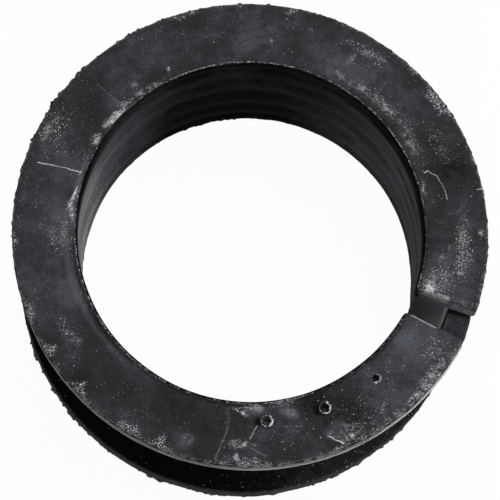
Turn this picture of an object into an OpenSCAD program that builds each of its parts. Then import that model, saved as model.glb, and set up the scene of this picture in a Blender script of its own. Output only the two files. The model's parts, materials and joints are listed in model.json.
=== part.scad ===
// Split rubber bushing that seats a round steering gear housing in its bracket.
// One moulded ring with two flanges, a bracket groove between them, soft ribs round the bore,
// a radial split that lets it open over the housing, and three gate marks on the top flange.
// Millimetres, +Z up. The origin is on the bore axis, in the bottom face.

/* [Ring] */
// Outside diameter of both flanges
flange_d = 66; // [62:0.5:80]
// Height over both flanges
height = 26.8; // [24:0.2:40]
// Inside diameter over the rib crests and the end lips
bore_d = 48; // [40:0.5:52]
// Radius on the outer edges of both flanges
rim_edge_r = 0.5; // [0.1:0.1:1.2]

/* [Bracket groove] */
// Thickness of each flange
flange_t = 3.6; // [2.6:0.1:6]
// Diameter at the floor of the groove
groove_floor_d = 58.4; // [54:0.2:62]
// Radius where the groove floor meets each flange
groove_fillet_r = 0.8; // [0.2:0.1:2]

/* [Bore ribs] */
// Number of ribs round the bore, between the two end lips
rib_count = 4; // [2:1:5]
// Distance from each end face to the crest of its nearest rib
first_crest = 4.5; // [3.6:0.1:5.5]
// Length of the straight land on each crest
crest_land = 1; // [0.4:0.1:1.6]
// Depth of the valleys between the crests
valley_depth = 0.3; // [0.2:0.1:1]
// Length of the straight land on each end lip, below its bevel
lip_land = 0.6; // [0.3:0.1:1.2]
// Width of the bevel round each mouth of the bore, seen from above
mouth_bevel_w = 0.7; // [0.2:0.1:1.4]
// Depth of the bevel round each mouth of the bore
mouth_bevel_h = 0.4; // [0.2:0.1:1]

/* [Split] */
// Angle that the split takes out of the ring
split_angle = 7.8; // [2:0.2:16]
// Direction of the middle of the split, anticlockwise from +X
split_at = -19.3; // [-170:0.1:170]
// How far the rounded corners at the bore reach along each face of the split
split_corner = 0.8; // [0.3:0.1:1.5]

/* [Gate marks] */
// Diameter of the circle that the gate marks stand on
mark_circle_d = 53.8; // [50:0.2:60]
// Direction of the first gate mark
mark_first_at = -80; // [-120:0.5:-70]
// Angle from one gate mark to the next
mark_step = 17.4; // [8:0.1:24]
// Number of gate marks that still have their torn nub
nub_count = 2; // [0:1:3]
// Number of gate marks that tore off below the face
pit_count = 1; // [0:1:2]
// Outside diameter of a nub
nub_d = 1.7; // [1.2:0.1:3]
// Height of a nub above the flange
nub_h = 0.6; // [0.2:0.1:1.5]
// Diameter of the hole left in a nub
nub_hole_d = 1.1; // [0.4:0.1:1.3]
// Diameter of a pit that tore off below the face
pit_d = 1.1; // [0.5:0.1:2]
// Depth of the holes and pits below the flange face
mark_depth = 0.8; // [0.3:0.1:1.6]

/* [Hidden] */
$fn = 96;
ROUND_FN = 360;
CUT = 1;
// How much wider a valley's floor bends than the shoulders that it runs into
FLOOR_SPREAD = 1.03;
// Angle at which the round of a split corner meets the faces beside it
CORNER_BITE = 20;
rubber = "#33363b";
bore_r = bore_d / 2;
flange_r = flange_d / 2;
groove_floor_r = groove_floor_d / 2;
valley_r = bore_r + valley_depth;
rib_pitch = (height - 2 * first_crest) / (rib_count - 1);
lip_end = mouth_bevel_h + lip_land;
// Each pair is the start and the end of one straight land along the bore, from the bottom lip to the top lip
lands = concat(
    [[mouth_bevel_h, lip_end]],
    [
        for (i = [0 : rib_count - 1])
            let (z = first_crest + i * rib_pitch)
            [z - crest_land / 2, z + crest_land / 2]
    ],
    [[height - lip_end, height - mouth_bevel_h]]
);

// Sections lie in the plane of radius and height, radius along X

// What is left between a square corner and the round that replaces it, its corner at the origin
module corner_waste(r) {
    difference() {
        square([r, r]);
        translate([r, r]) circle(r);
    }
}

// Open space of the bracket groove, with a fillet at both corners of its floor
module groove_section() {
    groove_w = height - 2 * flange_t;
    translate([groove_floor_r, flange_t]) difference() {
        square([flange_r - groove_floor_r + CUT, groove_w]);
        corner_waste(groove_fillet_r);
        translate([0, groove_w]) mirror([0, 1]) corner_waste(groove_fillet_r);
    }
}

// One valley of the bore from land to land: two rounded shoulders and a round floor between them
module valley_section(from_z, to_z) {
    half = (to_z - from_z) / 2;
    slope = 2 * atan(valley_depth / half);
    shoulder_bend_r = half / (2 * sin(slope));
    floor_bend_r = shoulder_bend_r * FLOOR_SPREAD;
    difference() {
        translate([bore_r - CUT, from_z]) square([CUT + valley_depth / 2, 2 * half]);
        for (z = [from_z, to_z]) translate([bore_r + shoulder_bend_r, z]) circle(shoulder_bend_r);
    }
    translate([valley_r - floor_bend_r, from_z + half]) circle(floor_bend_r);
}

// Bevel round one mouth of the bore, for the end at height 0
module mouth_section() {
    polygon([
        [bore_r - CUT, -CUT],
        [bore_r + mouth_bevel_w, -CUT],
        [bore_r + mouth_bevel_w, 0],
        [bore_r, mouth_bevel_h],
        [bore_r - CUT, mouth_bevel_h]
    ]);
}

// Rounding of one outer flange edge, the edge at radius flange_r and height 0
module rim_section() {
    translate([flange_r, 0]) mirror([1, 0]) corner_waste(rim_edge_r);
}

// Whole section of the ring
module ring_section() {
    difference() {
        translate([bore_r, 0]) square([flange_r - bore_r, height]);
        groove_section();
        for (i = [1 : len(lands) - 1]) valley_section(lands[i - 1][1], lands[i][0]);
        mouth_section();
        translate([0, height]) mirror([0, 1]) mouth_section();
        for (z = [0, height - flange_t]) translate([0, z]) {
            rim_section();
            translate([0, flange_t]) mirror([0, 1]) rim_section();
        }
    }
}

// Waste at the corner of the bore and one end face, which lies along X with its body towards +Y
module corner_flare() {
    bend_r = split_corner / (cos(CORNER_BITE) - sin(CORNER_BITE));
    centre = bend_r * cos(CORNER_BITE);
    difference() {
        translate([bore_r - CUT, -CUT / 2]) square([CUT + centre, CUT / 2 + centre]);
        translate([bore_r + centre, centre]) circle(bend_r);
    }
}

// Plan of the split, its middle along X: a wedge from the axis, with flared corners at the bore
module split_plan() {
    reach = flange_r + CUT;
    half = split_angle / 2;
    polygon([[0, 0], [reach, -reach * tan(half)], [reach, reach * tan(half)]]);
    rotate(half) corner_flare();
    rotate(-half) mirror([0, 1]) corner_flare();
}

// The ring with its split, whose two ends have their corners rounded at the bore
module split_ring() {
    rotate([0, 0, split_at]) difference() {
        rotate_extrude($fn = ROUND_FN) ring_section();
        translate([0, 0, -CUT]) linear_extrude(height + 2 * CUT) split_plan();
    }
}

// Puts its children at one gate mark on the top face
module at_mark(index) {
    rotate([0, 0, mark_first_at + index * mark_step])
        translate([mark_circle_d / 2, 0, height]) children();
}

// Stubs of rubber that stand where the gates tore off
module gate_nubs() {
    for (i = [0 : 1 : nub_count - 1]) at_mark(i)
        translate([0, 0, -mark_depth]) cylinder(d = nub_d, h = nub_h + mark_depth);
}

// Holes down the nubs, and the pits of the gates that tore off below the face
module gate_holes() {
    for (i = [0 : 1 : nub_count - 1]) at_mark(i)
        translate([0, 0, -mark_depth]) cylinder(d = nub_hole_d, h = nub_h + mark_depth + CUT);
    for (i = [0 : 1 : pit_count - 1]) at_mark(nub_count + i)
        translate([0, 0, -mark_depth]) cylinder(d = pit_d, h = mark_depth + CUT);
}

module bushing() {
    color(rubber) difference() {
        union() {
            split_ring();
            gate_nubs();
        }
        gate_holes();
    }
}

bushing();
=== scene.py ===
"""Split rubber bushing of a steering gear, dressed for a plain studio view.

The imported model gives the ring's outside size, its height and its bore. The classes below rebuild the
moulded ring around those sizes with its worn ends, soft ribs, torn gate stubs and ragged mould flash, and
finish it in dusty black rubber. Lengths in the classes are in millimetres, and meshes are in metres.
"""

from __future__ import annotations

import json
import logging
import math
from dataclasses import dataclass, field
from enum import Enum

import bmesh
import bpy
import numpy as np
from mathutils import Matrix, Vector

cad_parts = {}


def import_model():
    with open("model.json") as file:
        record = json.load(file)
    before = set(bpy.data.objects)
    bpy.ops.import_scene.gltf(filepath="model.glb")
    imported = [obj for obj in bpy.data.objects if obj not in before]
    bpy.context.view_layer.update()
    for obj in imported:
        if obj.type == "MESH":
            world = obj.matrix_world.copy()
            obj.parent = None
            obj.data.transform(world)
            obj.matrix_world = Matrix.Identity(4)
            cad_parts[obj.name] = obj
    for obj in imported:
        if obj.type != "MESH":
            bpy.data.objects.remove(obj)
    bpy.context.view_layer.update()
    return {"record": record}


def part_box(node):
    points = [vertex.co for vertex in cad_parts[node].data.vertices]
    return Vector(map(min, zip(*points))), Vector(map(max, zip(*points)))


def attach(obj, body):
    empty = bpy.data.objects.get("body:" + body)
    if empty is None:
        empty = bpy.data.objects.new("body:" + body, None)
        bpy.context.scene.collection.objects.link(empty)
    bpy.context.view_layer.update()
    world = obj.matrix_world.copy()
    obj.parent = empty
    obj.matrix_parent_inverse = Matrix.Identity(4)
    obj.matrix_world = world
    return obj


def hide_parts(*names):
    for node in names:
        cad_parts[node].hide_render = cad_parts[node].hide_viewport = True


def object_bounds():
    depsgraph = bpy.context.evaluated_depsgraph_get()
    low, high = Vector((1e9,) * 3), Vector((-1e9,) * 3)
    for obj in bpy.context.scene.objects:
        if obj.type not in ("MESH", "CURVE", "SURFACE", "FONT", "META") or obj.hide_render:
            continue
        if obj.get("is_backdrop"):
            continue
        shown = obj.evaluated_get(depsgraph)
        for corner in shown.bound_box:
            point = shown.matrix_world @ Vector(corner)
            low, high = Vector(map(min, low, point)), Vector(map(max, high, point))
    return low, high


LOG = logging.getLogger("bushing")
MM = 0.001
NODE = "bushing"
BODY = "root"
SLOT = "moulded_rubber"
# Azimuths of the ring's two ends, and the distance to them that is stored where wear at the ends can't reach
FIRST_END = -15.4
LAST_END = 336.8
FAR_FROM_END = 9.0

Colour = tuple[float, float, float, float]
Material = bpy.types.Material
Mesh = bpy.types.Mesh
Node = bpy.types.Node
Object = bpy.types.Object
Socket = bpy.types.NodeSocket
Table = list[tuple[float, float]]


class Tree:
    """Adds nodes to one shader tree or geometry tree in few words."""

    def __init__(self, tree: bpy.types.NodeTree) -> None:
        """Keeps the tree.

        Args:
            tree: The node tree that every call adds to.
        """
        self.tree = tree

    def feed(self, socket: Socket, value: object) -> None:
        """Links a socket to another one, or sets its constant.

        Args:
            socket: The input to fill.
            value: An output socket, a constant, or None to leave the input alone.
        """
        if isinstance(value, Socket):
            self.tree.links.new(value, socket)
        elif value is not None:
            socket.default_value = value

    def add(self, kind: str, *values: object, named: dict | None = None, **settings: object) -> Node:
        """Makes a node.

        Args:
            kind: The node's type.
            values: What its first inputs take, in order.
            named: What other inputs take, by name.
            settings: Properties of the node itself.

        Returns:
            The new node.
        """
        node = self.tree.nodes.new(kind)
        for name, setting in settings.items():
            setattr(node, name, setting)
        for socket, value in zip(node.inputs, values):
            self.feed(socket, value)
        for name, value in (named or {}).items():
            self.feed(node.inputs[name], value)
        return node

    def math(self, operation: str, *values: object, clamp: bool = False) -> Socket:
        """Makes a Math node and returns its result."""
        return self.add("ShaderNodeMath", *values, operation=operation, use_clamp=clamp).outputs[0]

    def chain(self, operation: str, *values: object) -> Socket:
        """Runs one Math operation over several values.

        Args:
            operation: The Math node's operation.
            values: The values, taken from left to right.

        Returns:
            The last result's socket.
        """
        result = values[0]
        for value in values[1:]:
            result = self.math(operation, result, value)
        return result

    def product(self, *values: object) -> Socket:
        """Multiplies values."""
        return self.chain("MULTIPLY", *values)

    def total(self, *values: object) -> Socket:
        """Adds values up."""
        return self.chain("ADD", *values)

    def most(self, *values: object) -> Socket:
        """Gives the largest of the values."""
        return self.chain("MAXIMUM", *values)

    def less(self, value: object, taken: object) -> Socket:
        """Takes one value away from another."""
        return self.math("SUBTRACT", value, taken)

    def off(self, value: object, middle: object) -> Socket:
        """Gives how far a value lies from a middle, on either side."""
        return self.math("ABSOLUTE", self.less(value, middle))

    def strongest(self, layers: list[tuple[object, object]]) -> Socket:
        """Weighs each mask by its share and gives the strongest at each point."""
        return self.most(*(self.product(*layer) for layer in layers))

    def whole(self, operation: str, *values: object) -> Socket:
        """Makes an Integer Math node and returns its result."""
        return self.add("FunctionNodeIntegerMath", *values, operation=operation).outputs[0]

    def vector(self, operation: str, *values: object, output: str = "Vector") -> Socket:
        """Makes a Vector Math node.

        Args:
            operation: The node's operation.
            values: What its inputs take. The second value of a SCALE is its factor.
            output: The name of the wanted output.

        Returns:
            The result's socket.
        """
        node = self.add("ShaderNodeVectorMath", operation=operation)
        places = [0, 3] if operation == "SCALE" else [0, 1, 2]
        for place, value in zip(places, values):
            self.feed(node.inputs[place], value)
        return node.outputs[output]

    def split(self, vector: object) -> bpy.types.NodeOutputs:
        """Gives the three parts of a vector."""
        return self.add("ShaderNodeSeparateXYZ", vector).outputs

    def ramp(self, value: object, low: float, high: float, to_low: float = 0, to_high: float = 1) -> Socket:
        """Maps a value smoothly from one range to another.

        Args:
            value: The socket to map.
            low: Where the result starts to change.
            high: Where it stops.
            to_low: The result at low and before it.
            to_high: The result at high and past it.

        Returns:
            The mapped value's socket.
        """
        limits = (low, high, to_low, to_high)
        node = self.add("ShaderNodeMapRange", value, *limits, interpolation_type="SMOOTHSTEP")
        return node.outputs["Result"]

    def noise(self, place: object, scale: object, detail: float = 2.0, roughness: float = 0.5) -> Socket:
        """Makes a noise with so many bumps to a unit of its place and returns its value."""
        named = {"Vector": place, "Scale": scale, "Detail": detail, "Roughness": roughness}
        return self.add("ShaderNodeTexNoise", named=named).outputs["Fac"]

    def stored(self, name: str) -> Socket:
        """Reads a number that is stored on the shaded mesh."""
        return self.add("ShaderNodeAttribute", attribute_name=name).outputs["Fac"]

    def blend(self, share: object, first: object, second: object) -> Socket:
        """Mixes two colours.

        Args:
            share: How much of the second colour the mix has, from 0 to 1.
            first: The first colour.
            second: The second colour.

        Returns:
            The mixed colour's socket.
        """
        node = self.add("ShaderNodeMix", data_type="RGBA")
        for place, value in zip((0, 6, 7), (share, first, second)):
            self.feed(node.inputs[place], value)
        return node.outputs[2]


def grey(level: float, tint: tuple[float, float, float] = (1.0, 1.0, 1.0)) -> Colour:
    """Turns a screen grey from 0 to 255 into a linear colour.

    Args:
        level: The grey as a screen shows it.
        tint: Factors on red, green and blue.

    Returns:
        The colour with full alpha.
    """
    share = level / 255
    linear = ((share + 0.055) / 1.055) ** 2.4
    return (*(linear * factor for factor in tint), 1.0)


def polar(azimuth: float, radius: float, height: float = 0.0) -> Vector:
    """Turns a direction in degrees and a radius into a point, in the radius's units."""
    angle = math.radians(azimuth)
    return Vector((radius * math.cos(angle), radius * math.sin(angle), height))


def along(places: np.ndarray, table: Table) -> np.ndarray:
    """Reads a table of places and values at many places, straight between its rows."""
    return np.interp(places, *zip(*table))


def hump(values: np.ndarray, middle: float, width: float) -> np.ndarray:
    """Gives a bell curve over values, which is 1 at its middle."""
    return np.exp(-(((values - middle) / width) ** 2))


def rise(values: np.ndarray, start: float, span: float) -> np.ndarray:
    """Gives a straight rise from 0 at its start to 1 a span further on. A span below zero leads back."""
    return np.clip((values - start) / span, 0, 1)


class Talc(Enum):
    """How a patch of mould talc lies on the rubber, by the name of the attribute that stores it."""

    BLOOM = "bloom"
    HAZE = "haze"
    SPECKS = "specks"


@dataclass(frozen=True)
class Smudge:
    """One patch of talc on the upper face, lengths in millimetres.

    A bloom below zero is a darker place, and a crisp patch has a harder edge. The two darkest, beside the
    gate stubs, are painted shadows.
    """

    azimuth: float
    radius: float
    along: float
    across: float
    strength: float
    turn: float = 0.0
    crisp: float = 1.5

    def weight(self, azimuth: np.ndarray, radius: np.ndarray) -> np.ndarray:
        """Gives the patch's strength at points of the face.

        Args:
            azimuth: The points' directions in degrees.
            radius: Their distances from the axis in millimetres.

        Returns:
            The strength at each point, from 0 to the patch's own.
        """
        turned = math.radians(self.turn)
        round_it = np.radians((azimuth - self.azimuth + 180) % 360 - 180) * radius
        outwards = radius - self.radius
        u = (round_it * math.cos(turned) + outwards * math.sin(turned)) / (self.along / 2)
        v = (outwards * math.cos(turned) - round_it * math.sin(turned)) / (self.across / 2)
        return self.strength * np.exp(-((u * u + v * v) ** self.crisp))


@dataclass(frozen=True)
class Score:
    """One thin pale line on the upper face, from one place to another, each as azimuth and radius."""

    start: tuple[float, float]
    end: tuple[float, float]
    width: float
    strength: float


@dataclass(frozen=True)
class Tear:
    """One black tear in the bore, from one place to another, each as azimuth and height."""

    start: tuple[float, float]
    end: tuple[float, float]
    width: float
    strength: float


SMUDGES = {
    Talc.BLOOM: [
        Smudge(-9, 29, 7, 9, 0.25),
        Smudge(3, 29, 8, 8, 0.12),
        Smudge(20, 28.6, 6, 9, -0.22),
        Smudge(31, 29, 10, 8, -0.12),
        Smudge(52, 27.6, 16, 5, 0.08),
        Smudge(70, 29, 12, 8, 0.18),
        Smudge(139, 26, 8, 3, 0.15),
        Smudge(171, 24.75, 9, 0.9, 0.55),
        Smudge(176, 28.6, 14, 9, 0.22),
        Smudge(203, 25.6, 16, 1, 0.3),
        Smudge(207, 29, 9, 7, 0.1),
        Smudge(207, 28, 10, 8, 0.12),
        Smudge(222, 25.4, 10, 0.8, 0.3),
        Smudge(237, 29, 18, 9, -0.12),
        Smudge(258.3, 30.9, 3.4, 3.6, 0.38),
        Smudge(262, 27.5, 12, 7, -0.15),
        Smudge(276.2, 25.2, 3, 1.8, 0.5),
        # Painted shadow to the left of the first gate stub
        Smudge(277.5, 27, 0.9, 1.3, -1.3, 0, 1),
        Smudge(286.8, 26, 2.8, 1.6, 0.5, 33),
        Smudge(290, 30, 12, 5, -0.12),
        Smudge(293, 26.2, 4, 3.6, -0.25, 0, 1),
        # Painted shadow to the left of the second gate stub
        Smudge(295.1, 26.9, 0.7, 1, -1.5, 0, 1),
        Smudge(297.8, 30.2, 3.4, 2.6, 0.38, -14, 5),
        Smudge(304, 28.4, 9, 8, -0.17),
        Smudge(322, 29, 12, 9, 0.2),
        Smudge(331.5, 28.4, 7, 8, 0.3),
    ],
    Talc.HAZE: [
        Smudge(-14.4, 28.2, 0.8, 1.3, 1.4),
        Smudge(-12.5, 25.9, 2.8, 1.3, 1.7),
        Smudge(-11.8, 25.4, 2, 1.2, 0.8),
        Smudge(-6.5, 29.6, 0.7, 0.7, 1),
        Smudge(-3, 26.9, 0.9, 0.8, 0.6),
        Smudge(0.5, 27.8, 0.6, 0.7, 0.7),
        Smudge(2.5, 29.4, 5, 1.2, 0.3),
        Smudge(5, 32, 0.9, 0.7, 1.2),
        Smudge(19.5, 24.9, 2.4, 0.7, 0.6),
        Smudge(35.5, 25.9, 3.4, 1.4, 0.45),
        Smudge(41, 26.4, 2.4, 1, 0.4),
        Smudge(48.5, 26, 4.4, 1.2, 0.5),
        Smudge(59, 25.9, 4.4, 1, 0.4, -10),
        Smudge(61, 30.6, 3.6, 0.8, 0.5, -12),
        Smudge(65.5, 28.7, 0.6, 2, 0.42, 12),
        Smudge(66, 25.6, 3, 1.2, 0.25),
        Smudge(79, 30.4, 0.4, 0.4, 0.8),
        Smudge(89, 27.6, 0.4, 0.5, 0.9),
        Smudge(121.6, 25.8, 0.35, 1.3, 0.8, 20),
        Smudge(128.5, 24.7, 3, 0.6, 0.3),
        Smudge(133, 26.2, 0.8, 1.1, 0.35),
        Smudge(133.5, 24.95, 3.4, 0.7, 0.6),
        Smudge(138.5, 25.2, 3.6, 0.9, 0.6),
        Smudge(145, 24.9, 3.8, 0.95, 1.9, 7, 3),
        Smudge(154, 25.1, 1.7, 1.1, 1.1, 0, 2),
        Smudge(159, 31.6, 3, 1.2, 0.3),
        Smudge(175.6, 25.1, 3.2, 0.55, 1.8, 15, 2.5),
        Smudge(179.5, 25, 2.4, 0.7, 1.1, -18),
        Smudge(184.4, 29, 0.5, 0.4, 1),
        Smudge(186, 26, 3, 1.6, 0.3),
        Smudge(189, 27.3, 0.4, 0.4, 1),
        Smudge(218, 28.6, 2.4, 1.2, 0.35),
        Smudge(258.8, 30.6, 1.8, 1.6, 0.16),
        Smudge(271.6, 31.6, 0.3, 0.9, 1.2, 15),
        Smudge(272, 32.1, 0.55, 0.5, 2, 0, 2),
        Smudge(272.6, 25.6, 2.4, 0.45, 1.2, 22, 2),
        Smudge(273.5, 29.9, 2.8, 0.9, 0.8, 10),
        Smudge(276.4, 24.9, 2.4, 1.2, 0.55),
        Smudge(286, 24.4, 2.8, 0.5, 0.9),
        Smudge(287.5, 26.2, 1.8, 1.1, 0.3, 33),
        Smudge(299, 30.8, 4, 2, 0.3, 0, 4),
        Smudge(300.5, 31.9, 3.2, 0.8, 0.8),
        Smudge(311.5, 30.7, 1.6, 0.6, 0.5, -40),
        Smudge(318.8, 32.3, 2.2, 0.6, 0.9),
        Smudge(326.5, 32, 3.2, 0.9, 0.6),
    ],
    Talc.SPECKS: [
        Smudge(-14.3, 31, 1.4, 3.4, 0.5),
        Smudge(-13.4, 26.8, 2.6, 4.2, 1.5),
        Smudge(-9, 27, 4, 3.6, 0.7),
        Smudge(0, 29.6, 8.5, 2, 1),
        Smudge(30.5, 29.5, 6, 2.4, 0.32),
        Smudge(33.5, 25.9, 5, 1.8, 0.38),
        Smudge(41.5, 26.5, 4, 1.7, 0.5),
        Smudge(51, 26.1, 7, 1.9, 0.45),
        Smudge(62.5, 30.8, 7, 1.5, 0.5),
        Smudge(157.5, 31, 6.4, 3.4, 0.5),
        Smudge(159, 25.2, 7, 0.7, 0.4),
        Smudge(187, 26.7, 4.4, 3.4, 0.35),
        Smudge(214, 29.2, 3.2, 1.5, 0.4),
        Smudge(271.2, 30, 2.6, 1.2, 1),
        Smudge(275, 24.9, 3.6, 0.8, 0.8),
        Smudge(285.5, 24.7, 3.4, 0.7, 1),
        Smudge(286, 29.2, 9, 5, 0.1),
        Smudge(306, 31, 5, 2.6, 0.3),
        Smudge(311, 28.6, 17, 7, 0.07),
        Smudge(325.5, 31.9, 5.6, 1.4, 0.95),
        Smudge(331.5, 31.9, 2.4, 1.4, 0.7),
        Smudge(332, 30.4, 4, 3, 0.45),
    ],
}
# Each row of the next tables is an azimuth in degrees and what holds there
RIM_TALC = [
    (FIRST_END, 0.5), (-8, 0.6), (0, 0.2), (3, 0.6), (8, 0.15), (18, 0.2), (23, 0.6),
    (26, 0.5), (29, 0.25), (35.5, 0.4), (37.5, 1), (44, 1), (46, 0.45), (50.5, 0.8),
    (55, 0.55), (64, 0.4), (82, 0.3), (85, 1), (89, 0.35), (98, 0.7), (104, 0.4),
    (113, 0.9), (118, 0.3), (152, 0.25), (157, 0.5), (163, 0.15), (184, 0.2), (188, 0.9),
    (192, 0.2), (202, 0.3), (205, 1), (208, 0.8), (211, 0.3), (214, 0.6), (217, 1.1),
    (220, 0.6), (225, 0.5), (229, 1.1), (233, 0.5), (238, 0.4), (243, 0.9), (246, 1),
    (249, 0.6), (253, 1.15), (257, 0.5), (262, 0.6), (266, 0.5), (269, 0.8), (276, 0.9),
    (283, 0.6), (289, 0.25), (297, 0.7), (301, 0.75), (308, 0.7), (314, 0.78),
    (319, 0.82), (324, 1), (329, 0.8), (LAST_END, 0.4),
]
# Paleness of the bore's wall by azimuth: dust, together with painted light on the left wall, which faces the
# right lamp
WALL_DUST_AND_LIGHT = [
    (FIRST_END, 0.14), (20, 0.14), (50, 0.09), (75, 0), (140, 0.03), (155, 0.16),
    (165, 0.75), (178, 0.85), (195, 0.7), (215, 0), (LAST_END, 0),
]
# Bloom of the bore's wall by azimuth, with painted light on the left wall, which faces the right lamp, and
# painted shade on the far wall
BORE_BLOOM_AND_LIGHT = [
    (FIRST_END, 0.5), (5, 0.65), (20, 0.65), (40, 0.65), (58, 0.35), (75, 0.15), (90, 0.05),
    (120, 0.1), (135, 0.7), (150, 0.85), (168, 1.1), (180, 1.2), (200, 0.6), (270, -0.4),
    (LAST_END, -0.1),
]
RIM_WEAR = [
    (FIRST_END, 0.6), (20, 0.2), (190, 0.1), (232, 0.2), (262, 0.15), (270, 0.35),
    (278, 1), (284, 0.9), (290, 0.7), (300, 0.8), (315, 0.9), (325, 1), (LAST_END, 1),
]
LIP_TALC = [
    (-15, 0.55), (2, 0.35), (15, 0.45), (22, 0.9), (30, 1.1), (60, 1.1), (68, 0.35),
    (84, 0.9), (116, 0.9), (124, 0.4), (131, 0.6), (142, 0.4), (150, 0.2), (172, 0.3),
    (190, 0.75), (230, 0.85), (250, 0.6), (268, 0.6), (281, 0.9), (290, 0.9), (295, 0.3),
    (318, 0.3), (LAST_END, 0.4),
]
# Painted highlights on the ribs' crests by azimuth, strongest on the left wall, where light rakes them
CREST_HIGHLIGHT = [
    (FIRST_END, 0.1), (40, 0.08), (70, 0), (135, 0), (150, 0.16), (180, 0.3), (196, 0.1),
]
# Painted shade under the brow of the bore's lip, by azimuth
BROW_SHADE = [
    (FIRST_END, 0.9), (40, 1), (60, 0.2), (120, 0), (150, 0.6), (170, 1.3), (200, 0.7),
]
LIP_REACH = [(FIRST_END, 0.22), (0, 0.3), (170, 0.3), (200, 0.2), (LAST_END, 0.18)]
RIM_RIDGE = [(272, 0), (284, 0.2), (300, 0.6), (315, 0.85), (325, 1)]
TEARS = [
    Tear((33, 17.9), (27, 17.5), 0.3, 1),
    Tear((27, 17.5), (19.5, 17.7), 0.36, 1),
]
SCORES = [
    Score((167.3, 31), (166.7, 28.8), 0.07, 1),
    Score((166.8, 28.9), (166.2, 26.6), 0.06, 0.6),
    Score((166.3, 26.7), (166, 24.9), 0.08, 1),
    Score((165.4, 24.95), (166.7, 24.95), 0.07, 0.5),
    Score((140.8, 30), (140.4, 25.4), 0.1, 0.07),
    Score((266.6, 32.4), (267.6, 30.4), 0.15, 0.1),
    Score((267.6, 30.4), (268.7, 28.2), 0.2, 0.065),
    Score((268.7, 28.2), (268.8, 26.6), 0.3, 0.035),
    Score((268.8, 26.6), (268, 25.3), 0.38, 0.03),
    Score((14.8, 27.7), (18.4, 27.6), 0.09, 0.3),
    Score((18.4, 27.6), (22.2, 27.1), 0.09, 0.28),
    Score((22.2, 27.1), (24.6, 26.1), 0.09, 0.3),
    Score((24.6, 26.1), (24.4, 25.6), 0.1, 0.5),
    Score((16, 32.7), (16, 32.1), 0.14, 0.4),
    Score((275, 29.2), (277, 27.4), 0.12, 0.25),
    Score((275, 30.4), (279, 31.6), 0.1, 0.1),
    Score((298.2, 32.3), (296.8, 31.5), 0.11, 0.9),
    Score((296.9, 31.55), (295.3, 30.6), 0.08, 0.8),
    Score((222, 30.4), (219, 27.6), 0.14, 0.04),
    Score((140.8, 24.6), (146.8, 24.65), 0.07, 1),
    Score((171, 24.7), (174.4, 25.05), 0.09, 0.9),
]


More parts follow.
